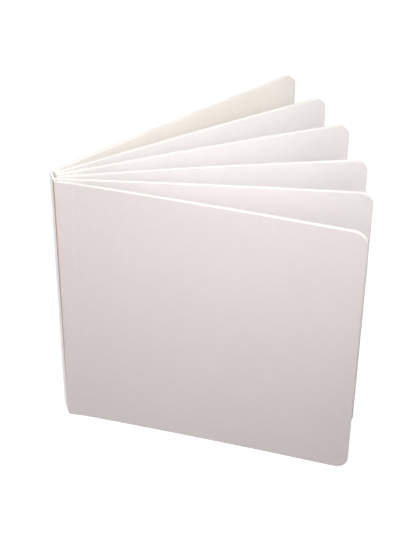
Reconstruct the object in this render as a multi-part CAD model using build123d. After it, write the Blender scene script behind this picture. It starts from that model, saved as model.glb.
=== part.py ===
from build123d import *
import os
from math import atan, cos, degrees, radians, sin, tan

# Blank square board book that stands fanned open on its bottom edges.
#
# Frame: millimetres, +Z up, the book stands on z = 0. The origin is at the foot of the spine
# strip, midway between its two folds and halfway through its card. The leaves fan out about +X,
# from the front cover on the -Y side to the back cover on the +Y side.
#
# How it is made: every board is two plies of card glued back to back. Five folded spreads make
# the leaves, so their creases stand in a row behind the spine strip. One outer sheet makes the
# outer ply of both covers and, between its two folds, the hollow spine strip.

# The closed book
BOOK_WIDTH = 152.4  # outer face of the spine to the fore-edge
BOOK_HEIGHT = 152.4
PLY = 0.95  # one ply of card
CORNER_RADIUS = 7.0  # fore-edge corners, top and bottom

# The fan: the angle of each board's chord from +X, and how far its middle bows towards +Y
FRONT_ANGLE, FRONT_BOW = -32.7, 0.75
HINGE_ANGLE = -27.4  # the front cover from its fold to its score line, where it bends
LEAF_ANGLES = (-21.1, -11.25, 0.5, 10.3)
LEAF_BOWS = (0.7, 1.1, 1.05, 0.6)
BACK_ANGLE, BACK_BOW = 19.8, 0.15

# The gutter
CREASE_STANDOFF = 1.3  # first crease, in front of the strip's inner face
CREASE_RADIUS = PLY  # back of each folded spread, one ply bent round
SEAT_WIDTH = 0.9  # contact width of the crease that is pressed onto the strip
SEATED_CREASE = 1  # which crease that is, counted from 0 at the front cover
COVER_GAP = 0.38  # a cover's inner face to the crease beside it

# The folds between covers and strip
OPEN_CORNER = 90.0  # strip to a cover that is folded right back, outside the fold
FRONT_CLOSING = 8.5  # how far each cover swings shut from where it stands
BACK_CLOSING = 8.0
FOLD_CLEARANCE = 0.05  # strip's end round the fold's bead
FOLD_PLAY = 3.0  # degrees left between the mitred ends at either limit
SCORE_OFFSET = 9.0  # score line on each cover, from its fold
SCORE_DEPTH = 0.06
SCORE_WIDTH = 1.0

BOARD = 2 * PLY
LEAF_LENGTH = BOOK_WIDTH - PLY - CREASE_STANDOFF  # crease to fore-edge
BEAD_RADIUS = PLY / 2  # the fold turns about the middle of its card
STRIP_TO_X = 90.0  # the strip stands square to +X


def along(angle):
    """Unit vector at an angle from +X."""
    return Vector(cos(radians(angle)), sin(radians(angle)))


def across(angle):
    """Unit vector a quarter turn further, from a board's near face to its far face."""
    return along(angle + 90)


def cot(angle):
    """Cotangent of an angle in degrees."""
    return 1 / tan(radians(angle))


def bowed(start, end, bow):
    """Line from start to end whose middle stands off by bow."""
    start, end = Vector(*start), Vector(*end)
    if abs(bow) < 1e-6:
        return Line(start, end)
    return ThreePointArc(start, (start + end) * 0.5 + Vector(0, bow), end)


def lean(bow, length):
    """Angle between a bowed board's chord and its faces at the gutter."""
    return 2 * degrees(atan(2 * bow / length))


def board_plan(near, near_start, far_start, length, bow):
    """Plan of a board along +X: its near face at y = near, its gutter end cut slantwise."""
    far = near + BOARD
    outline = bowed((near_start, near), (length, near), bow)
    outline += Line((length, near), (length, far))
    outline += bowed((length, far), (far_start, far), bow)
    if near < 0 < far:
        outline += Polyline((far_start, far), (0, 0), (near_start, near))
    else:
        outline += Line((far_start, far), (near_start, near))
    return make_face(outline)


def trim(board):
    """Board with its fore-edge corners cut round."""
    corners = board.edges().filter_by(Axis.Y).sort_by(Axis.X)[-2:]
    return fillet(corners, CORNER_RADIUS)


def place(board, point, angle):
    """Board moved from the X axis to its place in the fan."""
    return Pos(point.X, point.Y, 0) * Rot(0, 0, angle) * board


# Creases, from the front cover's to the back cover's, laid out from a front fold at the origin
inner_face = BOARD - BEAD_RADIUS
cover_to_crease = inner_face + COVER_GAP
first_crease_x = BEAD_RADIUS + CREASE_STANDOFF
front_reach = (first_crease_x - cover_to_crease * across(HINGE_ANGLE).X) / along(HINGE_ANGLE).X
creases = [along(HINGE_ANGLE) * front_reach + across(HINGE_ANGLE) * cover_to_crease]
for leaf_angle in LEAF_ANGLES:
    creases.append(creases[-1] + across(leaf_angle) * BOARD)
last = creases[-1]
back_fold_y = last.Y + (cover_to_crease + last.X * across(BACK_ANGLE).X) / across(BACK_ANGLE).Y
back_reach = (last - Vector(0, back_fold_y)).dot(along(BACK_ANGLE))
half_strip = back_fold_y / 2
creases = [crease - Vector(0, half_strip) for crease in creases]
front_fold = Vector(0, -half_strip)
back_fold = Vector(0, half_strip)


# The mitres at the folds: half the corner that is left when a cover is folded back or shut
outside_mitre = (OPEN_CORNER - FOLD_PLAY) / 2
front_mitre = (STRIP_TO_X - HINGE_ANGLE - FRONT_CLOSING - FOLD_PLAY) / 2
back_mitre = (STRIP_TO_X + BACK_ANGLE - BACK_CLOSING - FOLD_PLAY) / 2


def score_line(point, outward):
    """What the shallow round-bottomed score takes from a cover's outer face at a point."""
    radius = (SCORE_WIDTH**2 / 4 + SCORE_DEPTH**2) / (2 * SCORE_DEPTH)
    centre = point + outward * (radius - SCORE_DEPTH)
    return extrude(Pos(centre.X, centre.Y) * Circle(radius), BOOK_HEIGHT)


def front_cover():
    """Front cover, bent at its score line, with the fold's bead along its gutter edge."""
    bend = HINGE_ANGLE - FRONT_ANGLE
    near_start = along(bend) * BEAD_RADIUS * cot(outside_mitre) - across(bend) * BEAD_RADIUS
    far_start = along(bend) * inner_face * cot(front_mitre) + across(bend) * inner_face
    near_bend = along(bend) * SCORE_OFFSET - across(bend) * BEAD_RADIUS
    far_bend = near_bend + Vector(-BOARD * tan(radians(bend / 2)), BOARD)
    near_end = near_bend + Vector(front_reach + LEAF_LENGTH - SCORE_OFFSET, 0)
    far_end = near_end + Vector(0, BOARD)
    outline = Polyline(far_bend, far_start, (0, 0), near_start, near_bend)
    outline += bowed(near_bend, near_end, FRONT_BOW)
    outline += Line(near_end, far_end)
    outline += bowed(far_end, far_bend, FRONT_BOW)
    cover = extrude(make_face(outline), BOOK_HEIGHT)
    cover += extrude(Circle(BEAD_RADIUS), BOOK_HEIGHT)
    cover -= score_line(near_bend, -across(bend / 2))
    return place(trim(cover), front_fold, FRONT_ANGLE)


def back_cover():
    """Back cover, straight at its score line, with the fold's bead along its gutter edge."""
    length = back_reach + LEAF_LENGTH
    near_start = inner_face * cot(back_mitre)
    far_start = BEAD_RADIUS * cot(outside_mitre)
    plan = board_plan(-inner_face, near_start, far_start, length, BACK_BOW)
    cover = extrude(plan, BOOK_HEIGHT)
    cover += extrude(Circle(BEAD_RADIUS), BOOK_HEIGHT)
    share = SCORE_OFFSET / length
    score_y = BEAD_RADIUS + 4 * BACK_BOW * share * (1 - share)
    cover -= score_line(Vector(SCORE_OFFSET, score_y), Vector(0, 1))
    return place(trim(cover), back_fold, BACK_ANGLE)


def spine():
    """Spine strip between the two folds, its ends hollowed and mitred round the beads."""
    outline = Polyline(
        (-BEAD_RADIUS, front_fold.Y + BEAD_RADIUS * cot(outside_mitre)),
        (0, front_fold.Y),
        (BEAD_RADIUS, front_fold.Y + BEAD_RADIUS * cot(front_mitre)),
        (BEAD_RADIUS, back_fold.Y - BEAD_RADIUS * cot(back_mitre)),
        (0, back_fold.Y),
        (-BEAD_RADIUS, back_fold.Y - BEAD_RADIUS * cot(outside_mitre)),
        close=True,
    )
    plan = make_face(outline)
    for fold in (front_fold, back_fold):
        plan -= Pos(fold.X, fold.Y) * Circle(BEAD_RADIUS + FOLD_CLEARANCE)
    return extrude(plan, BOOK_HEIGHT)


def crease_plan(index):
    """Plan of one crease: round behind, and cut off where a cover's ply turns away from it."""
    plan = Circle(CREASE_RADIUS)
    half = Rectangle(4 * CREASE_RADIUS, 2 * CREASE_RADIUS)
    if index == 0:
        near_face = LEAF_ANGLES[0] + lean(LEAF_BOWS[0], LEAF_LENGTH)
        plan &= Rot(0, 0, near_face) * Pos(0, CREASE_RADIUS) * half
    if index == len(LEAF_ANGLES):
        far_face = LEAF_ANGLES[-1] + lean(LEAF_BOWS[-1], LEAF_LENGTH)
        plan &= Rot(0, 0, far_face) * Pos(0, -CREASE_RADIUS) * half
    if index == SEATED_CREASE:
        seat = BEAD_RADIUS - creases[index].X
        neck = Polyline(
            (seat, -SEAT_WIDTH / 2),
            (0, -CREASE_RADIUS),
            (0, CREASE_RADIUS),
            (seat, SEAT_WIDTH / 2),
            close=True,
        )
        plan += make_face(neck)
    return Pos(creases[index].X, creases[index].Y) * plan


def page_block():
    """The leaves between the covers, fanned, with the row of creases that joins them."""
    block = extrude(crease_plan(0), BOOK_HEIGHT)
    for index in range(1, len(creases)):
        block += extrude(crease_plan(index), BOOK_HEIGHT)
    for crease, angle, bow in zip(creases, LEAF_ANGLES, LEAF_BOWS):
        leaf = extrude(board_plan(0, 0, 0, LEAF_LENGTH, bow), BOOK_HEIGHT)
        block += place(trim(leaf), crease, angle)
    return block


os.makedirs("parts", exist_ok=True)
book = {
    "front_cover": front_cover(),
    "spine": spine(),
    "page_block": page_block(),
    "back_cover": back_cover(),
}
for name, piece in book.items():
    export_step(piece, f"parts/{name}.step")
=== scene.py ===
import logging
import math
from dataclasses import dataclass
from enum import Enum

import bpy
from bpy.types import Material, Node, NodeSocket, ShaderNodeTree, World
from mathutils import Matrix, Vector

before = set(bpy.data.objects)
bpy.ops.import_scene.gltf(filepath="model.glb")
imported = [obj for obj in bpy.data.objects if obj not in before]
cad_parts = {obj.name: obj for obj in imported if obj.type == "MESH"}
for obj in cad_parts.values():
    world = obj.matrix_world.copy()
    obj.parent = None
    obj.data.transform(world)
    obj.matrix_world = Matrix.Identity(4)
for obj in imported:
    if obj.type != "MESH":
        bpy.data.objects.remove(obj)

# Looks of a blank square board book that stands fanned open. All lengths are in metres, in the
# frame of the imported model: the book stands on z = 0, the spine strip is at x = 0, the leaves fan
# out about +X, and the front cover is on the -Y side.

LOG = logging.getLogger("board_book")

MM = 0.001
Vector3 = tuple[float, float, float]
Colour = tuple[float, float, float]
Feed = NodeSocket | float | Vector3

# The two ends of a ramp: where it is 0, and where it is 1
Span = tuple[float, float]

# A noise's waves for each metre, and how many octaves are added to the first
Waves = tuple[float, float]


# The book's sizes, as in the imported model

BOOK_WIDTH = 152.4 * MM
BOOK_HEIGHT = 152.4 * MM
PLY = 0.95 * MM
BOARD_THICKNESS = 2 * PLY
CREASE_STANDOFF = 1.3 * MM
COVER_GAP = 0.38 * MM
SCORE_OFFSET = 9.0 * MM
FOLD_RADIUS = PLY / 2
LEAF_LENGTH = BOOK_WIDTH - PLY - CREASE_STANDOFF

FRONT_ANGLE, FRONT_BOW = -32.7, 0.75 * MM
HINGE_ANGLE = -27.4
LEAF_ANGLES = (-21.1, -11.25, 0.5, 10.3)
LEAF_BOWS = (0.7 * MM, 1.1 * MM, 1.05 * MM, 0.6 * MM)
BACK_ANGLE, BACK_BOW = 19.8, 0.15 * MM
STRIP_ANGLE = 90.0

# Halfway through a board and through the strip, from the near face, in board thicknesses
BOARD_MIDDLE = 0.5
STRIP_MIDDLE = 0.25


# The light

BOOK_MIDDLE: Vector3 = (0.07, -0.02, 0.08)
WHITE: Colour = (1.0, 1.0, 1.0)
BEAM_WHITE: Colour = (1.0, 0.975, 0.98)
WARM_WHITE: Colour = (1.0, 0.965, 0.97)


class Op(Enum):
    """Operations of the shader's Math node that this book's materials use."""

    ADD = "ADD"
    SUBTRACT = "SUBTRACT"
    MULTIPLY = "MULTIPLY"
    DIVIDE = "DIVIDE"
    ABSOLUTE = "ABSOLUTE"
    MAXIMUM = "MAXIMUM"
    LESS_THAN = "LESS_THAN"
    GREATER_THAN = "GREATER_THAN"
    SQRT = "SQRT"


class VectorOp(Enum):
    """Operations of the Vector Math node that give a vector."""

    SUBTRACT = "SUBTRACT"
    MULTIPLY = "MULTIPLY"
    NORMALIZE = "NORMALIZE"


class Measure(Enum):
    """Operations of the Vector Math node that give a number."""

    LENGTH = "LENGTH"
    DOT_PRODUCT = "DOT_PRODUCT"


class Blend(Enum):
    """Ways in which the Mix node blends two colours."""

    MIX = "MIX"
    MULTIPLY = "MULTIPLY"


class Graph:
    """Short way to write down a shader node tree."""

    # Places of the factor and the two inputs on a Mix node, and of its mixed colour
    NUMBER_INPUTS = (0, 2, 3)
    COLOUR_INPUTS = (0, 6, 7)
    COLOUR_RESULT = 2

    def __init__(self, tree: ShaderNodeTree) -> None:
        """Starts writing in an empty tree.

        Args:
            tree: the node tree to fill.
        """
        self.tree = tree

    @classmethod
    def of(cls, owner: Material | World) -> "Graph":
        """Starts writing in the tree of a material or a world.

        Args:
            owner: what the tree belongs to. Its own nodes are deleted.

        Returns:
            The graph to write in.
        """
        owner.use_nodes = True
        owner.node_tree.nodes.clear()
        return cls(owner.node_tree)

    def node(self, kind: str, **settings: object) -> Node:
        """Adds a node.

        Args:
            kind: Blender's name of the node type, without its ShaderNode prefix.
            settings: properties to set on the node.

        Returns:
            The new node.
        """
        made = self.tree.nodes.new("ShaderNode" + kind)
        for name, value in settings.items():
            setattr(made, name, value)
        return made

    def feed(self, socket: NodeSocket, value: Feed) -> None:
        """Links a socket, or sets its value.

        Args:
            socket: the input socket.
            value: an output socket, a number or three numbers.
        """
        if isinstance(value, NodeSocket):
            self.tree.links.new(value, socket)
        elif isinstance(value, tuple) and len(socket.default_value) > len(value):
            socket.default_value = (*value, 1.0)
        else:
            socket.default_value = value

    def maths(self, operation: Op, *values: Feed) -> NodeSocket:
        """Adds a Math node.

        Args:
            operation: what it works out.
            values: its one or two operands.

        Returns:
            The result's socket.
        """
        made = self.node("Math", operation=operation.value)
        for socket, value in zip(made.inputs, values):
            self.feed(socket, value)
        return made.outputs[0]

    def chain(self, operation: Op, first: Feed, *others: Feed) -> NodeSocket:
        """Adds a row of Math nodes, such as a product of several numbers.

        Args:
            operation: what each node works out.
            first: the number that the row starts from.
            others: the numbers that are taken in one after the other.

        Returns:
            The last result's socket.
        """
        result = first
        for value in others:
            result = self.maths(operation, result, value)
        return result

    def vector_maths(self, operation: VectorOp | Measure, *values: Feed) -> NodeSocket:
        """Adds a Vector Math node.

        Args:
            operation: what it works out.
            values: its one or two operands.

        Returns:
            The result's socket.
        """
        made = self.node("VectorMath", operation=operation.value)
        for socket, value in zip(made.inputs, values):
            self.feed(socket, value)
        return made.outputs["Value" if isinstance(operation, Measure) else "Vector"]

    def join(self, **numbers: Feed) -> NodeSocket:
        """Makes a vector.

        Args:
            numbers: its numbers by axis. An axis that isn't named is 0.

        Returns:
            The vector's socket.
        """
        made = self.node("CombineXYZ")
        for axis, value in numbers.items():
            self.feed(made.inputs[axis], value)
        return made.outputs[0]

    def split(self, vector: NodeSocket) -> Node:
        """Takes a vector apart.

        Args:
            vector: the vector, or a colour.

        Returns:
            The node, whose outputs are the numbers.
        """
        made = self.node("SeparateXYZ")
        self.feed(made.inputs[0], vector)
        return made

    def turn_back(self, vector: NodeSocket, angle: Feed) -> NodeSocket:
        """Turns a position back about +Z, as seen by something that is turned.

        Args:
            vector: the position.
            angle: how far that thing is turned, in radians.

        Returns:
            The turned position's socket.
        """
        made = self.node("VectorRotate", rotation_type="Z_AXIS", invert=True)
        self.feed(made.inputs["Vector"], vector)
        self.feed(made.inputs["Angle"], angle)
        return made.outputs[0]

    def ramp(self, value: Feed, low: float, high: float) -> NodeSocket:
        """Smooth step from 0 at low to 1 at high, or the other way round.

        Args:
            value: what is looked up.
            low: where the result is 0.
            high: where the result is 1.

        Returns:
            The result's socket.
        """
        made = self.node("MapRange", interpolation_type="SMOOTHSTEP")
        if low > high:
            self.feed(made.inputs["From Min"], high)
            self.feed(made.inputs["From Max"], low)
            self.feed(made.inputs["To Min"], 1.0)
            self.feed(made.inputs["To Max"], 0.0)
        else:
            self.feed(made.inputs["From Min"], low)
            self.feed(made.inputs["From Max"], high)
        self.feed(made.inputs["Value"], value)
        return made.outputs["Result"]

    def mix(self, factor: Feed, a: Feed, b: Feed) -> NodeSocket:
        """Mixes two numbers.

        Args:
            factor: 0 for a, 1 for b.
            a: the first number.
            b: the second number.

        Returns:
            The result's socket.
        """
        made = self.node("Mix", data_type="FLOAT")
        for index, value in zip(self.NUMBER_INPUTS, (factor, a, b)):
            self.feed(made.inputs[index], value)
        return made.outputs[0]

    def mix_colour(self, factor: Feed, a: Feed, b: Feed, blend: Blend = Blend.MIX) -> NodeSocket:
        """Mixes two colours.

        Args:
            factor: 0 for a, 1 for the blend of both.
            a: the colour below.
            b: the colour above.
            blend: how they are blended.

        Returns:
            The result's socket.
        """
        made = self.node("Mix", data_type="RGBA", blend_type=blend.value)
        for index, value in zip(self.COLOUR_INPUTS, (factor, a, b)):
            self.feed(made.inputs[index], value)
        return made.outputs[self.COLOUR_RESULT]

    def noise(self, vector: NodeSocket, scale: float, octaves: float) -> NodeSocket:
        """Adds a noise about 0.5.

        Args:
            vector: the position it is read from.
            scale: waves for each metre.
            octaves: finer octaves added to the first.

        Returns:
            The noise's socket.
        """
        made = self.node("TexNoise")
        self.feed(made.inputs["Vector"], vector)
        self.feed(made.inputs["Scale"], scale)
        self.feed(made.inputs["Detail"], octaves)
        return made.outputs[0]

    def about_one(self, value: NodeSocket, amount: Feed) -> NodeSocket:
        """Turns a noise about 0.5 into a factor about 1.

        Args:
            value: the noise.
            amount: how far the factor swings.

        Returns:
            The factor's socket.
        """
        swing = self.maths(Op.MULTIPLY, self.maths(Op.SUBTRACT, value, 0.5), amount)
        return self.maths(Op.ADD, swing, 1.0)

    def place(self) -> NodeSocket:
        """Position on the book, in metres, which moves with the piece."""
        return self.node("TexCoord").outputs["Object"]

    def height(self) -> NodeSocket:
        """Height above the foot of the book, in metres."""
        return self.split(self.place()).outputs["Z"]

    def mixed_by_sight(self, unseen: NodeSocket, seen: NodeSocket, output: str) -> None:
        """Ends the tree in one shader for what is seen, and another for the light it throws.

        Args:
            unseen: the shader that lights other things.
            seen: the shader that the camera sees, straight, mirrored or through something.
            output: the kind of output node.
        """
        path = self.node("LightPath")
        rays = (path.outputs[f"Is {kind} Ray"] for kind in ("Camera", "Glossy", "Transmission"))
        mixed = self.node("MixShader")
        for socket, value in zip(mixed.inputs, (self.chain(Op.MAXIMUM, *rays), unseen, seen)):
            self.feed(socket, value)
        self.feed(self.node(output).inputs["Surface"], mixed.outputs[0])

    def group(self, tree: ShaderNodeTree, **values: Feed) -> Node:
        """Places a node group.

        Args:
            tree: the group's tree.
            values: its inputs by name, with _ for a space.

        Returns:
            The group's node.
        """
        made = self.node("Group", node_tree=tree)
        for name, value in values.items():
            self.feed(made.inputs[name.replace("_", " ")], value)
        return made


def number_group(name: str, takes: tuple[str, ...], gives: tuple[str, ...]) -> tuple[Graph, Node, Node]:
    """Makes an empty shader group whose inputs and outputs are all numbers.

    Args:
        name: the group's name.
        takes: the names of its inputs.
        gives: the names of its outputs.

    Returns:
        The graph to write in, the group's input node and its output node.
    """
    tree = bpy.data.node_groups.new(name, "ShaderNodeTree")
    for in_out, labels in (("INPUT", takes), ("OUTPUT", gives)):
        for label in labels:
            tree.interface.new_socket(name=label, in_out=in_out, socket_type="NodeSocketFloat")
    return Graph(tree), tree.nodes.new("NodeGroupInput"), tree.nodes.new("NodeGroupOutput")


class CardEffects:
    """The shader groups that every card material of the book shares."""

    # What makes share times rest 1 in the middle of a bow
    ARCH = 4.0

    # A little more than half a board's thickness and its whole length, as shares of them
    HALF_THICKNESS = 0.54
    WHOLE_LENGTH = 1.01

    # The coated face's patterns. The grain only shows in the relief, where it counts twice
    CLOUD_BANKS: Waves = (28.0, 1.0)
    CLOUDS: Waves = (260.0, 2.0)
    FIBRES: Waves = (2200.0, 3.0)
    GRAIN: Waves = (420.0, 2.0)
    GRAIN_RELIEF = 2.0

    # Its specks: cells for each metre, a speck's soft edge in cells, and the share without a speck
    SPECK_CELLS = 90.0
    SPECK_EDGE: Span = (0.035, 0.012)
    WITHOUT_SPECK = 0.86

    # How squarely a trimmed edge faces out of its board
    OUT_OF_BOARD: Span = (0.45, 0.6)

    # Its pressed layers: waves for each metre along, for each thickness across, for each metre up
    COARSE_LAYERS: Vector3 = (220.0, 9.0, 220.0)
    FINE_LAYERS: Vector3 = (900.0, 26.0, 900.0)
    LAYER_OCTAVES = 2.0

    # Its glue line and skins, in thicknesses from the middle, and the painted shade on its far side, from
    # the near face
    GLUE_LINE: Span = (0.035, 0.01)
    GLUE_GROOVE = 0.6
    SKIN: Span = (0.38, 0.49)
    FAR_EDGE_SHADE: Span = (0.7, 0.9)

    # A stroke's soft edge, as a share of its length and width, from its middle
    STROKE_EDGE: Span = (0.6, 0.15)

    def __init__(self) -> None:
        """Builds each group once."""
        self.board = self._board()
        self.surface = self._surface()
        self.cut_edge = self._cut_edge()
        self.layers = self._layers()
        self.stroke = self._stroke()

    @classmethod
    def _board(cls) -> ShaderNodeTree:
        """Where a point lies in one board: along it, and across its thickness."""
        takes = ("Crease X", "Crease Y", "Angle", "Bow", "Length", "Near", "Start")
        graph, given, result = number_group("Board Coordinates", takes, ("Reach", "Ply", "On Board"))
        crease = graph.join(X=given.outputs["Crease X"], Y=given.outputs["Crease Y"])
        from_crease = graph.vector_maths(VectorOp.SUBTRACT, graph.place(), crease)
        local = graph.split(graph.turn_back(from_crease, given.outputs["Angle"]))
        reach = local.outputs["X"]
        share = graph.maths(Op.DIVIDE, reach, given.outputs["Length"])
        rest = graph.maths(Op.SUBTRACT, 1.0, share)
        bow = graph.chain(Op.MULTIPLY, share, rest, cls.ARCH, given.outputs["Bow"])
        near_face = graph.maths(Op.ADD, given.outputs["Near"], bow)
        from_near = graph.maths(Op.SUBTRACT, local.outputs["Y"], near_face)
        ply = graph.maths(Op.DIVIDE, from_near, BOARD_THICKNESS)
        from_middle = graph.maths(Op.ABSOLUTE, graph.maths(Op.SUBTRACT, ply, BOARD_MIDDLE))
        within = graph.maths(Op.LESS_THAN, from_middle, cls.HALF_THICKNESS)
        short = graph.maths(Op.LESS_THAN, share, cls.WHOLE_LENGTH)
        graph.feed(result.inputs["Reach"], graph.maths(Op.ADD, reach, given.outputs["Start"]))
        graph.feed(result.inputs["Ply"], ply)
        graph.feed(result.inputs["On Board"], graph.maths(Op.MULTIPLY, within, short))
        return graph.tree

    @classmethod
    def _surface(cls) -> ShaderNodeTree:
        """Coated face of the card: cloudy formation, fine fibre and rare dark specks."""
        takes = ("Cloud", "Fibre", "Specks")
        graph, given, result = number_group("Card Surface", takes, ("Shade", "Height"))
        place = graph.place()
        banks = graph.about_one(graph.noise(place, *cls.CLOUD_BANKS), given.outputs["Cloud"])
        clouds = graph.about_one(graph.noise(place, *cls.CLOUDS), given.outputs["Cloud"])
        fibre = graph.noise(place, *cls.FIBRES)
        fibres = graph.about_one(fibre, given.outputs["Fibre"])
        cells = graph.node("TexVoronoi")
        graph.feed(cells.inputs["Vector"], place)
        graph.feed(cells.inputs["Scale"], cls.SPECK_CELLS)
        near_speck = graph.ramp(cells.outputs["Distance"], *cls.SPECK_EDGE)
        lot = graph.split(cells.outputs["Color"]).outputs["X"]
        chosen = graph.maths(Op.GREATER_THAN, lot, cls.WITHOUT_SPECK)
        speck = graph.chain(Op.MULTIPLY, near_speck, chosen, given.outputs["Specks"])
        shade = graph.chain(Op.MULTIPLY, banks, clouds, fibres)
        graph.feed(result.inputs["Shade"], graph.maths(Op.SUBTRACT, shade, speck))
        grain = graph.maths(Op.MULTIPLY, graph.noise(place, *cls.GRAIN), cls.GRAIN_RELIEF)
        graph.feed(result.inputs["Height"], graph.maths(Op.ADD, fibre, grain))
        return graph.tree

    @classmethod
    def _cut_edge(cls) -> ShaderNodeTree:
        """Trimmed edges: what faces up, down or away from the gutter, out of a board's own plane."""
        graph, given, result = number_group("Cut Edge", ("Start",), ("Mask",))
        normal = graph.node("TexCoord").outputs["Normal"]
        flat = graph.vector_maths(VectorOp.MULTIPLY, graph.place(), (1.0, 1.0, 0.0))
        outward = graph.vector_maths(VectorOp.NORMALIZE, flat)
        along = graph.vector_maths(Measure.DOT_PRODUCT, normal, outward)
        reach = graph.vector_maths(Measure.LENGTH, flat)
        far = graph.maths(Op.GREATER_THAN, reach, given.outputs["Start"])
        towards = graph.maths(Op.MULTIPLY, graph.maths(Op.ABSOLUTE, along), far)
        level = graph.maths(Op.ABSOLUTE, graph.split(normal).outputs["Z"])
        squarely = graph.maths(Op.MAXIMUM, towards, level)
        graph.feed(result.inputs["Mask"], graph.ramp(squarely, *cls.OUT_OF_BOARD))
        return graph.tree

    @classmethod
    def _layers(cls) -> ShaderNodeTree:
        """Trimmed edge of a board: pressed layers of fibre, the glue line, the coated skins, and painted
        shade towards its far face.
        """
        takes = ("Reach", "Ply", "Streaks", "Glue", "Skin", "Far Side")
        graph, given, result = number_group("Board Layers", takes, ("Shade", "Height"))
        ply = given.outputs["Ply"]
        board = graph.join(X=given.outputs["Reach"], Y=ply, Z=graph.height())
        coarse, fine = (
            graph.noise(graph.vector_maths(VectorOp.MULTIPLY, board, waves), 1.0, cls.LAYER_OCTAVES)
            for waves in (cls.COARSE_LAYERS, cls.FINE_LAYERS)
        )
        streaks = graph.maths(Op.MULTIPLY, graph.maths(Op.ADD, coarse, fine), 0.5)
        from_middle = graph.maths(Op.ABSOLUTE, graph.maths(Op.SUBTRACT, ply, BOARD_MIDDLE))
        glue_line = graph.ramp(from_middle, *cls.GLUE_LINE)
        glue = graph.maths(Op.MULTIPLY, glue_line, given.outputs["Glue"])
        skin = graph.maths(Op.MULTIPLY, graph.ramp(from_middle, *cls.SKIN), given.outputs["Skin"])
        # Painted shade: darker towards the far face, where the rim turns away from the light
        far_edge_shade = graph.maths(Op.MULTIPLY, graph.ramp(ply, *cls.FAR_EDGE_SHADE), given.outputs["Far Side"])
        lines = graph.chain(Op.SUBTRACT, 1.0, glue, skin, far_edge_shade)
        shade = graph.about_one(streaks, given.outputs["Streaks"])
        graph.feed(result.inputs["Shade"], graph.maths(Op.MULTIPLY, shade, lines))
        groove = graph.maths(Op.MULTIPLY, glue_line, cls.GLUE_GROOVE)
        graph.feed(result.inputs["Height"], graph.maths(Op.SUBTRACT, streaks, groove))
        return graph.tree

    @classmethod
    def _stroke(cls) -> ShaderNodeTree:
        """Soft-edged stroke on a board's face."""
        takes = ("Reach", "At Reach", "At Height", "Tilt", "Length", "Width")
        graph, given, result = number_group("Stroke", takes, ("Mask",))
        beyond = graph.maths(Op.SUBTRACT, given.outputs["Reach"], given.outputs["At Reach"])
        above = graph.maths(Op.SUBTRACT, graph.height(), given.outputs["At Height"])
        local = graph.split(graph.turn_back(graph.join(X=beyond, Y=above), given.outputs["Tilt"]))
        squares = []
        for axis, size in (("X", "Length"), ("Y", "Width")):
            share = graph.maths(Op.DIVIDE, local.outputs[axis], given.outputs[size])
            squares.append(graph.maths(Op.MULTIPLY, share, share))
        from_middle = graph.maths(Op.SQRT, graph.maths(Op.ADD, *squares))
        graph.feed(result.inputs["Mask"], graph.ramp(from_middle, *cls.STROKE_EDGE))
        return graph.tree


@dataclass(frozen=True)
class Board:
    """One board's place in the fan.

    Attributes:
        crease: the gutter end of its reference line, seen from above.
        angle: its chord's angle from +X, in degrees.
        bow: how far its middle bows towards +Y.
        length: its chord, from the crease to the fore-edge.
        near: its near face, from the reference line.
        start: how far the crease is from the fold, if the board goes on from another.
    """

    crease: tuple[float, float]
    angle: float
    bow: float
    length: float
    near: float = 0.0
    start: float = 0.0

    def coordinates(self, graph: Graph, effects: CardEffects) -> Node:
        """Places this board's coordinates in a material.

        Args:
            graph: the material's graph.
            effects: the shared groups.

        Returns:
            The group's node.
        """
        return graph.group(
            effects.board,
            Crease_X=self.crease[0],
            Crease_Y=self.crease[1],
            Angle=math.radians(self.angle),
            Bow=self.bow,
            Length=self.length,
            Near=self.near,
            Start=self.start,
        )


class Fan:
    """The boards' places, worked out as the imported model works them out."""

    def __init__(self) -> None:
        """Lays the boards side by side from the front fold, then centres them on the spine."""
        inner_face = BOARD_THICKNESS - FOLD_RADIUS
        to_crease = inner_face + COVER_GAP
        first_x = FOLD_RADIUS + CREASE_STANDOFF
        along_hinge, across_hinge = self.along(HINGE_ANGLE), self.across(HINGE_ANGLE)
        front_reach = (first_x - to_crease * across_hinge.x) / along_hinge.x
        crease = along_hinge * front_reach + across_hinge * to_crease
        creases = [crease]
        for angle in LEAF_ANGLES:
            creases.append(creases[-1] + self.across(angle) * BOARD_THICKNESS)
        last = creases[-1]
        across_back = self.across(BACK_ANGLE)
        back_y = last.y + (to_crease + last.x * across_back.x) / across_back.y
        back_reach = (last - Vector((0.0, back_y))).dot(self.along(BACK_ANGLE))
        half = back_y / 2
        bend = along_hinge * SCORE_OFFSET - across_hinge * FOLD_RADIUS - Vector((0.0, half))
        beyond = front_reach + LEAF_LENGTH - SCORE_OFFSET
        self.hinge = Board((0.0, -half), HINGE_ANGLE, 0.0, SCORE_OFFSET, -FOLD_RADIUS)
        self.front = Board((bend.x, bend.y), FRONT_ANGLE, FRONT_BOW, beyond, start=SCORE_OFFSET)
        self.back = Board((0.0, half), BACK_ANGLE, BACK_BOW, back_reach + LEAF_LENGTH, -inner_face)
        self.leaves = tuple(
            Board((crease.x, crease.y - half), angle, bow, LEAF_LENGTH)
            for crease, angle, bow in zip(creases, LEAF_ANGLES, LEAF_BOWS)
        )
        self.strip = Board((FOLD_RADIUS, 0.0), STRIP_ANGLE, 0.0, half)

    @staticmethod
    def along(angle: float) -> Vector:
        """Unit vector at an angle from +X, in degrees."""
        return Vector((math.cos(math.radians(angle)), math.sin(math.radians(angle))))

    @classmethod
    def across(cls, angle: float) -> Vector:
        """Unit vector a quarter turn further."""
        return cls.along(angle + 90)


@dataclass(frozen=True)
class Stroke:
    """A mark on a cover's faces.

    Attributes:
        reach: its middle, from the fold.
        height: its middle, above the foot.
        tilt: its angle from level, in degrees.
        length: about its length.
        width: about its width.
        strength: how far it lightens the card, or darkens it if it is below 0.
    """

    reach: float
    height: float
    tilt: float
    length: float
    width: float
    strength: float


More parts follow.
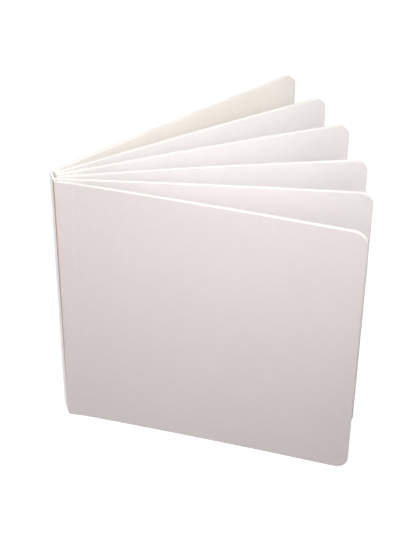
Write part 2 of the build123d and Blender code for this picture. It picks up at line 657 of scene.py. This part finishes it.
@dataclass(frozen=True)
class FoldShade:
    """Painted shade beside a fold: a warm tint that fades away from the fold and towards the foot.

    Attributes:
        tint: how it tints the card where it is strongest.
        reach: where it ends and where it is strongest, along the board.
        height: where it ends and where it is strongest, above the foot.
    """

    tint: Colour
    reach: Span
    height: Span


class Part(Enum):
    """What a piece of card is in the book."""

    LEAF = "leaf"
    FRONT_COVER = "front cover"
    BACK_COVER = "back cover"
    STRIP = "strip"


@dataclass(frozen=True)
class CardFinish:
    """White coated card: its face, and the layers that show where it is cut.

    Attributes:
        face: colour of the coated face.
        edge: colour of the trimmed edge.
        page: colour of the back cover's face towards the leaves.
        gutter: painted light, a lighter colour of the card deep in the gutter where the boards shade each
            other, and of the strip's face towards the leaves.
        gutter_light_depth: where the painted light in the gutter begins and where it is strongest, from
            the fold.
        strip: painted light, a tint that makes the strip's outer face lighter than the covers' face.
        strip_fold_shade: painted shade on the strip's outer face, darkest beside the front fold and
            towards the top.
        cover_fold_shade: painted shade on a cover's outer face, a warm band beside its fold that fades
            towards the foot.
        side_step: half the step from one face's colour to the other's, in thicknesses.
        face_roughness: roughness of the face.
        edge_roughness: roughness of the trimmed edge.
        specular: level of the gloss.
        cloud: swing of the cloudy formation.
        fibre: swing of the fine fibre.
        specks: darkness of the rare specks.
        relief: height of the face's fine relief.
        edge_start: how far from the spine the upright trimmed edges begin.
        edge_relief: height of the pressed layers.
        streaks: swing of the pressed layers.
        glue: darkness of the glue line.
        skin: darkness of the coated skins, seen from their edge.
        far_side: painted shade, how far the trimmed edge darkens towards the board's far face, where its
            rim turns away from the light.
    """

    face: Colour
    edge: Colour
    page: Colour = (0.855, 0.825, 0.765)
    # Painted light: the card is lighter deep in the gutter, where the boards shade each other
    gutter: Colour = (0.95, 0.935, 0.905)
    gutter_light_depth: Span = (18 * MM, 0.0)
    # Painted light: the strip's outer face is made lighter than the covers' face
    strip: Colour = (1.06, 1.11, 1.1)
    # Painted shade on the strip beside the front fold, darkest towards the top
    strip_fold_shade: FoldShade = FoldShade(
        (0.42, 0.335, 0.255), (-0.6 * MM, -2.4 * MM), (-0.4 * BOOK_HEIGHT, 0.6 * BOOK_HEIGHT)
    )
    # Painted shade on a cover's outer face, in a warm band beside its fold
    cover_fold_shade: FoldShade = FoldShade(
        (1.02, 0.965, 0.91), (1.3 * MM, 0.4 * MM), (0.05 * BOOK_HEIGHT, 0.75 * BOOK_HEIGHT)
    )
    side_step: float = 0.05
    face_roughness: float = 0.5
    edge_roughness: float = 0.85
    specular: float = 0.4
    cloud: float = 0.035
    fibre: float = 0.05
    specks: float = 0.06
    relief: float = 0.012 * MM
    edge_start: float = 20 * MM
    edge_relief: float = 0.05 * MM
    streaks: float = 0.12
    glue: float = 0.10
    skin: float = 0.10
    far_side: float = 0.16

    def material(
        self,
        name: str,
        effects: CardEffects,
        boards: tuple[Board, ...],
        part: Part,
        strokes: tuple[Stroke, ...] = (),
    ) -> Material:
        """Builds the material of the boards in one piece.

        Args:
            name: the material's name.
            effects: the shared groups.
            boards: every board in the piece.
            part: what the piece is in the book.
            strokes: marks on its faces.

        Returns:
            The material.
        """
        made = bpy.data.materials.new(name)
        graph = Graph.of(made)
        reach, ply = self._along_and_across(graph, effects, boards)
        # 1 deep in the gutter, where light is painted into the card's colour
        gutter_light = graph.ramp(reach, *self.gutter_light_depth)
        cut = graph.group(effects.cut_edge, Start=self.edge_start).outputs["Mask"]
        surface = graph.group(effects.surface, Cloud=self.cloud, Fibre=self.fibre, Specks=self.specks)
        layers = graph.group(
            effects.layers,
            Reach=reach,
            Ply=ply,
            Streaks=self.streaks,
            Glue=self.glue,
            Skin=self.skin,
            Far_Side=self.far_side,
        )
        marks = self._marks(graph, effects, reach, strokes)
        face_shade = graph.chain(Op.ADD, surface.outputs["Shade"], *marks)
        face = self._face_colour(graph, reach, ply, gutter_light, part)
        face = graph.mix_colour(1.0, face, face_shade, Blend.MULTIPLY)
        edge = graph.mix_colour(gutter_light, self.edge, self.gutter)
        edge = graph.mix_colour(1.0, edge, layers.outputs["Shade"], Blend.MULTIPLY)
        bump = graph.node("Bump")
        graph.feed(bump.inputs["Distance"], 1.0)
        face_height = graph.maths(Op.MULTIPLY, surface.outputs["Height"], self.relief)
        edge_height = graph.maths(Op.MULTIPLY, layers.outputs["Height"], self.edge_relief)
        graph.feed(bump.inputs["Height"], graph.mix(cut, face_height, edge_height))
        shader = graph.node("BsdfPrincipled")
        graph.feed(shader.inputs["Base Color"], graph.mix_colour(cut, face, edge))
        graph.feed(shader.inputs["Roughness"], graph.mix(cut, self.face_roughness, self.edge_roughness))
        graph.feed(shader.inputs["Specular IOR Level"], self.specular)
        graph.feed(shader.inputs["Normal"], bump.outputs["Normal"])
        graph.feed(graph.node("OutputMaterial").inputs["Surface"], shader.outputs[0])
        return made

    @staticmethod
    def _along_and_across(
        graph: Graph, effects: CardEffects, boards: tuple[Board, ...]
    ) -> tuple[NodeSocket, NodeSocket]:
        """Reach and ply of whichever board a point lies in.

        Args:
            graph: the material's graph.
            effects: the shared groups.
            boards: every board in the piece.

        Returns:
            The reach's socket and the ply's socket.
        """
        first = boards[0].coordinates(graph, effects)
        reach, ply = first.outputs["Reach"], first.outputs["Ply"]
        for board in boards[1:]:
            node = board.coordinates(graph, effects)
            reach = graph.mix(node.outputs["On Board"], reach, node.outputs["Reach"])
            ply = graph.mix(node.outputs["On Board"], ply, node.outputs["Ply"])
        return reach, ply

    @staticmethod
    def _marks(
        graph: Graph, effects: CardEffects, reach: NodeSocket, strokes: tuple[Stroke, ...]
    ) -> list[NodeSocket]:
        """What each stroke adds to the shade of the face.

        Args:
            graph: the material's graph.
            effects: the shared groups.
            reach: from the fold.
            strokes: marks on the piece's faces.

        Returns:
            A socket for each stroke.
        """
        marks = []
        for stroke in strokes:
            mask = graph.group(
                effects.stroke,
                Reach=reach,
                At_Reach=stroke.reach,
                At_Height=stroke.height,
                Tilt=math.radians(stroke.tilt),
                Length=stroke.length,
                Width=stroke.width,
            ).outputs["Mask"]
            marks.append(graph.maths(Op.MULTIPLY, mask, stroke.strength))
        return marks

    def _face_colour(
        self, graph: Graph, reach: NodeSocket, ply: NodeSocket, gutter_light: NodeSocket, part: Part
    ) -> NodeSocket:
        """Colour of a piece's two faces, with the painted shade beside its fold and the painted light in
        the gutter.

        Args:
            graph: the material's graph.
            reach: from the fold or the crease, or from the strip's middle towards the back fold.
            ply: from the near face, in thicknesses.
            gutter_light: 1 in the depth of the gutter.
            part: what the piece is in the book.

        Returns:
            The colour's socket.
        """
        if part is Part.LEAF:
            return graph.mix_colour(gutter_light, self.face, self.gutter)
        if part is Part.STRIP:
            outer = self._fold_shaded(graph, reach, self._tinted(self.face, self.strip), self.strip_fold_shade)
            # The strip's face towards the leaves carries the gutter's painted light all over
            return self._by_side(graph, ply, self.gutter, outer, STRIP_MIDDLE)
        outer = self._fold_shaded(graph, reach, self.face, self.cover_fold_shade)
        if part is Part.FRONT_COVER:
            inner = graph.mix_colour(gutter_light, self.face, self.gutter)
            return self._by_side(graph, ply, outer, inner, BOARD_MIDDLE)
        inner = graph.mix_colour(gutter_light, self.page, self.gutter)
        return self._by_side(graph, ply, inner, outer, BOARD_MIDDLE)

    def _fold_shaded(self, graph: Graph, reach: NodeSocket, colour: Colour, line: FoldShade) -> NodeSocket:
        """Colour of an outer face, with the painted shade beside its fold.

        Args:
            graph: the material's graph.
            reach: along the board.
            colour: the rest of the outer face.
            line: the painted shade beside the fold.

        Returns:
            The colour's socket.
        """
        beside_fold = graph.ramp(reach, *line.reach)
        strength = graph.maths(Op.MULTIPLY, beside_fold, graph.ramp(graph.height(), *line.height))
        return graph.mix_colour(strength, colour, self._tinted(self.face, line.tint))

    def _by_side(self, graph: Graph, ply: NodeSocket, near: Feed, far: Feed, middle: float) -> NodeSocket:
        """Colour of a near face and a far face.

        Args:
            graph: the material's graph.
            ply: from the near face, in thicknesses.
            near: colour of the near face.
            far: colour of the far face.
            middle: halfway between them, in thicknesses.

        Returns:
            The colour's socket.
        """
        far_side = graph.ramp(ply, middle - self.side_step, middle + self.side_step)
        return graph.mix_colour(far_side, near, far)

    @staticmethod
    def _tinted(colour: Colour, tint: Colour) -> Colour:
        """Colour multiplied by a tint."""
        return (colour[0] * tint[0], colour[1] * tint[1], colour[2] * tint[2])


def dress(node: str, material: Material) -> None:
    """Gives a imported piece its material.

    Args:
        node: the piece's name in the frame.
        material: what it is dressed in.
    """
    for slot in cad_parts[node].material_slots:
        slot.link = "OBJECT"
        slot.material = material
    LOG.info("%s dressed in %s", node, material.name)


@dataclass
class Covers:
    """Front and back cover, and the spine strip between them, which the outer sheet joins.

    Attributes:
        fan: where the boards stand.
        effects: the shared groups.
        finish: what they are finished in.
        scuff: pale rubbed marks at the front cover's lower outer corner.
    """

    fan: Fan
    effects: CardEffects
    finish: CardFinish = CardFinish(face=(0.905, 0.845, 0.84), edge=(0.89, 0.875, 0.825))
    scuff: tuple[Stroke, ...] = (
        Stroke(145.7 * MM, 2.9 * MM, 12.0, 3.0 * MM, 1.3 * MM, 0.15),
        Stroke(147.3 * MM, 3.9 * MM, 60.0, 2.2 * MM, 1.3 * MM, 0.15),
        Stroke(148.6 * MM, 5.9 * MM, 40.0, 2.8 * MM, 1.4 * MM, 0.13),
    )

    def dress(self) -> None:
        """Dresses the two covers and the strip."""
        pieces = (
            ("front_cover", (self.fan.front, self.fan.hinge), Part.FRONT_COVER, self.scuff),
            ("back_cover", (self.fan.back,), Part.BACK_COVER, ()),
            ("spine", (self.fan.strip,), Part.STRIP, ()),
        )
        for node, boards, part, strokes in pieces:
            dress(node, self.finish.material(f"{node}_card", self.effects, boards, part, strokes))


@dataclass
class Leaves:
    """The block of leaves between the covers.

    Attributes:
        fan: where the boards stand.
        effects: the shared groups.
        finish: what they are finished in.
    """

    fan: Fan
    effects: CardEffects
    finish: CardFinish = CardFinish(face=(0.85, 0.833, 0.823), edge=(0.885, 0.873, 0.83))

    def dress(self) -> None:
        """Dresses the block."""
        dress("page_block", self.finish.material("page_card", self.effects, self.fan.leaves, Part.LEAF))


@dataclass(frozen=True)
class Lamp:
    """A soft rectangular lamp.

    Attributes:
        name: what it is called.
        place: where it stands.
        target: what it points at.
        size: its width and height.
        power: in watts.
        colour: of its light.
        spread: of its beam, in degrees.
    """

    name: str
    place: Vector3
    target: Vector3
    size: tuple[float, float]
    power: float
    colour: Colour = WHITE
    spread: float = 180.0

    def build(self) -> None:
        """Sets the lamp up in the scene."""
        light = bpy.data.lights.new(self.name, "AREA")
        light.shape = "RECTANGLE"
        light.size, light.size_y = self.size
        light.energy = self.power
        light.spread = math.radians(self.spread)
        light.color = self.colour
        lamp = bpy.data.objects.new(self.name, light)
        lamp.visible_camera = False
        bpy.context.collection.objects.link(lamp)
        lamp.location = self.place
        direction = Vector(self.target) - Vector(self.place)
        lamp.rotation_euler = direction.to_track_quat("-Z", "Y").to_euler()


@dataclass(frozen=True)
class Viewpoint:
    """Where the photograph was taken from.

    Attributes:
        place: the lens.
        pitch: how far the view looks down, in degrees.
        heading: of the view from +Y towards +X, in degrees.
        roll: of the frame, in degrees.
        lens: focal length in millimetres, on the sensor below.
        sensor: the sensor's long side in millimetres.
    """

    place: Vector3 = (-0.11082, -0.58742, 0.57318)
    pitch: float = 38.689
    heading: float = 17.96
    roll: float = 0.808
    lens: float = 102.57
    sensor: float = 36.0

    def build(self) -> None:
        """Makes the scene's camera."""
        pitch, heading, roll = (math.radians(v) for v in (self.pitch, self.heading, self.roll))
        ahead = Vector((math.sin(heading), math.cos(heading), 0.0))
        level = Vector((math.cos(heading), -math.sin(heading), 0.0))
        forward = ahead * math.cos(pitch) - Vector((0, 0, math.sin(pitch)))
        upward = ahead * math.sin(pitch) + Vector((0, 0, math.cos(pitch)))
        right = level * math.cos(roll) + upward * math.sin(roll)
        above = upward * math.cos(roll) - level * math.sin(roll)
        data = bpy.data.cameras.new("camera")
        data.lens = self.lens
        data.sensor_width = self.sensor
        camera = bpy.data.objects.new("camera", data)
        bpy.context.collection.objects.link(camera)
        turn = Matrix((right, above, -forward)).transposed().to_4x4()
        camera.matrix_world = Matrix.Translation(self.place) @ turn
        bpy.context.scene.camera = camera


@dataclass
class Studio:
    """Plain pale floor, white surroundings and soft lamps.

    Attributes:
        floor_bounce: colour that the floor throws back at the book.
        floor_shadow: how much of the light on the floor shows, and so how dark the shadow is.
        floor_glow: what the floor shows of itself, where 1 is white.
        floor_size: side of the floor.
        surroundings: light that comes from all round.
        lamps: the lamps.
    """

    floor_bounce: Colour = (0.06, 0.055, 0.055)
    floor_shadow: Colour = (0.16, 0.16, 0.16)
    floor_glow: float = 0.95
    floor_size: float = 8.0
    surroundings: Colour = (0.232, 0.224, 0.225)
    lamps: tuple[Lamp, ...] = (
        Lamp("beam", (-0.02, -0.3, 0.45), (0.05, -0.03, 0.17), (0.2, 0.2), 0.12, BEAM_WHITE, 55.0),
        Lamp("slant", (0.16, -0.32, 0.5), (0.12, -0.04, 0.15), (0.2, 0.2), 0.112, BEAM_WHITE, 60.0),
        Lamp("right", (0.7, -0.5, 0.9), BOOK_MIDDLE, (0.6, 0.6), 3.8, WARM_WHITE),
        Lamp("left", (-0.9, -0.2, 0.3), BOOK_MIDDLE, (0.6, 0.6), 2.15, WARM_WHITE),
        Lamp("front", (0.1, -0.9, 0.35), BOOK_MIDDLE, (0.5, 0.5), 1.05, WARM_WHITE),
        Lamp("top", (0.07, -0.02, 0.9), (0.07, -0.02, 0.1), (0.5, 0.5), 0.35),
        Lamp("back", (0.3, 1.0, 0.16), (0.07, 0.0, 0.08), (0.7, 0.5), 6.2),
        Lamp("back_left", (-0.95, 0.75, 0.25), (0.0, 0.0, 0.08), (0.6, 0.5), 6.0),
    )

    def build(self) -> None:
        """Sets up the floor, the world and the lamps."""
        self._floor()
        self._world()
        for lamp in self.lamps:
            lamp.build()

    def _floor(self) -> None:
        """Floor that looks white, keeps the book's shadow, and throws back little light."""
        bpy.ops.mesh.primitive_plane_add(size=self.floor_size)
        floor = bpy.context.object
        floor.name = "floor"
        material = bpy.data.materials.new("floor_paper")
        graph = Graph.of(material)
        bounce = graph.node("BsdfDiffuse")
        graph.feed(bounce.inputs["Color"], self.floor_bounce)
        shaded = graph.node("BsdfDiffuse")
        graph.feed(shaded.inputs["Color"], self.floor_shadow)
        glow = graph.node("Emission")
        graph.feed(glow.inputs["Strength"], self.floor_glow)
        seen = graph.node("AddShader")
        graph.feed(seen.inputs[0], shaded.outputs[0])
        graph.feed(seen.inputs[1], glow.outputs[0])
        graph.mixed_by_sight(bounce.outputs[0], seen.outputs[0], "OutputMaterial")
        floor.data.materials.append(material)

    def _world(self) -> None:
        """Surroundings that look white, and light the book more softly than that."""
        world = bpy.data.worlds.new("surroundings")
        bpy.context.scene.world = world
        graph = Graph.of(world)
        light = graph.node("Background")
        graph.feed(light.inputs["Color"], self.surroundings)
        white = graph.node("Background")
        graph.feed(white.inputs["Color"], WHITE)
        graph.mixed_by_sight(light.outputs[0], white.outputs[0], "OutputWorld")


def main() -> None:
    """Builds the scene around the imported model."""
    logging.basicConfig(level=logging.INFO, format="%(name)s: %(message)s")
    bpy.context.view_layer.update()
    bpy.context.scene.view_settings.view_transform = "Standard"
    fan = Fan()
    effects = CardEffects()
    Covers(fan, effects).dress()
    Leaves(fan, effects).dress()
    Viewpoint().build()
    Studio().build()


if __name__ == "__main__":
    main()
